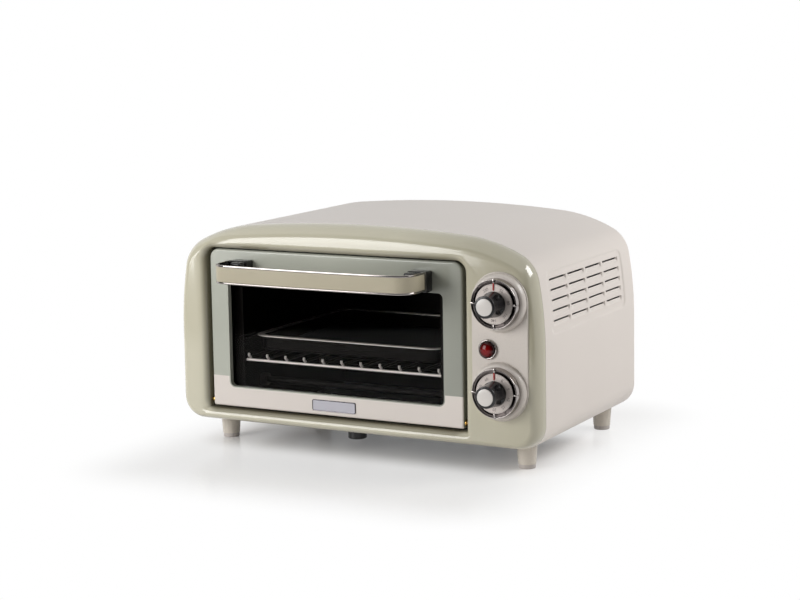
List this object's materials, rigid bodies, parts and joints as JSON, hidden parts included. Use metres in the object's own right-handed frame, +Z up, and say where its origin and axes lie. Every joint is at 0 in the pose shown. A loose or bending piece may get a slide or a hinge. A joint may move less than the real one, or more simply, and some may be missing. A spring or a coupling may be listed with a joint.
{
  "type": "countertop toaster oven",
  "caption": "Countertop electric oven with a drop-down glass door, bowed handle, two rotary dials, pilot lamp, louvred casing and four feet.",
  "frame": {"origin": "Centre of the bounding box's underside, on the surface that the feet stand on.", "axes": "+X runs to the viewer's right across the front, the front faces -Y, and +Z is up."},
  "size_m": [0.3664, 0.2648, 0.2115],
  "materials": {
    "casing_enamel": "satin enamel",
    "bezel_enamel": "glossy",
    "panel_paint": "satin",
    "bright_chrome": "polished",
    "black_plastic": "satin",
    "cream_plastic": "glossy",
    "red_plastic": "glossy",
    "dial_metal": "satin metallic",
    "plated_steel": "zinc plated",
    "brass_pin": "turned",
    "liner_steel": "aluminised",
    "heater_steel": "oxidised",
    "bush_ceramic": "matte",
    "mechanism_plastic": "moulded",
    "gland_rubber": "matte",
    "pad_rubber": "matte",
    "door_paint": "satin",
    "dark_glass": "tinted",
    "badge_metal": "satin",
    "band_plastic": "satin",
    "tray_enamel": "enamel"
  },
  "bodies": {
    "oven_body": {"casing_wrap": "casing_enamel", "front_bezel": "bezel_enamel", "control_plate": "panel_paint", "upper_dial_boss": "panel_paint", "lower_dial_boss": "panel_paint", "upper_dial_ring": "bright_chrome", "lower_dial_ring": "bright_chrome", "upper_dial_well": "black_plastic", "lower_dial_well": "black_plastic", "dial_cursors": "red_plastic", "lamp_bezel": "bright_chrome", "lamp_lens": "red_plastic", "lamp_holder": "black_plastic", "base_plate": "plated_steel", "flap_hinge_pins": "brass_pin", "cavity_liner": "liner_steel", "cavity_front_frame": "liner_steel", "left_shelf_guide": "liner_steel", "right_shelf_guide": "liner_steel", "lower_front_heater": "heater_steel", "lower_rear_heater": "heater_steel", "upper_front_heater": "heater_steel", "upper_rear_heater": "heater_steel", "heater_bushes": "bush_ceramic", "control_heat_shield": "liner_steel", "thermostat_body": "mechanism_plastic", "timer_body": "mechanism_plastic", "timer_bell": "brass_pin", "terminal_block": "mechanism_plastic", "cord_gland": "gland_rubber", "rear_panel": "casing_enamel", "rear_screws": "plated_steel", "legs": "cream_plastic", "leg_pads": "pad_rubber", "leg_screws": "plated_steel", "door_hinge_pins": "brass_pin"},
    "door": {"door_surround": "door_paint", "window_glass": "dark_glass", "door_inner_liner": "liner_steel", "door_bottom_strip": "casing_enamel", "badge_plate": "badge_metal", "handle_bar": "bright_chrome", "handle_band": "band_plastic", "left_handle_spacer": "black_plastic", "right_handle_spacer": "black_plastic", "handle_screws": "plated_steel"},
    "thermostat_knob": {"thermostat_knob": "black_plastic", "thermostat_knob_cap": "cream_plastic", "thermostat_dial_plate": "dial_metal", "thermostat_shaft": "plated_steel"},
    "timer_knob": {"timer_knob": "black_plastic", "timer_knob_cap": "cream_plastic", "timer_dial_plate": "dial_metal", "timer_shaft": "plated_steel"},
    "crumb_flap": {"crumb_flap": "plated_steel", "crumb_flap_knob": "black_plastic"},
    "wire_rack": {"wire_rack": "bright_chrome"},
    "baking_tray": {"baking_tray": "tray_enamel"}
  },
  "joints": [
    {"name": "door_hinge", "type": "hinge", "parent": "oven_body", "child": "door", "pos_m": [-0.01905, -0.08045, 0.0426], "axis": [1, 0, 0], "range_deg": [0, 80]},
    {"name": "rack_slide", "type": "slide", "parent": "oven_body", "child": "wire_rack", "axis": [0, -1, 0], "range_m": [0, 0.061]},
    {"name": "tray_slide", "type": "slide", "parent": "oven_body", "child": "baking_tray", "axis": [0, -1, 0], "range_m": [0, 0.061]},
    {"name": "thermostat_turn", "type": "hinge", "parent": "oven_body", "child": "thermostat_knob", "pos_m": [0.14795, -0.08505, 0.1526], "axis": [0, 1, 0], "range_deg": [0, 270]},
    {"name": "timer_turn", "type": "hinge", "parent": "oven_body", "child": "timer_knob", "pos_m": [0.14795, -0.08505, 0.0755], "axis": [0, 1, 0], "range_deg": [0, 300]},
    {"name": "crumb_flap_hinge", "type": "hinge", "parent": "oven_body", "child": "crumb_flap", "pos_m": [-0.01905, 0.10755, 0.0208], "axis": [1, 0, 0], "range_deg": [0, 65]}
  ],
  "couplings": [
    {"joint": "rack_slide", "follows": "door_hinge", "m_per_rad": 0.043},
    {"joint": "tray_slide", "follows": "door_hinge", "m_per_rad": 0.043}
  ]
}
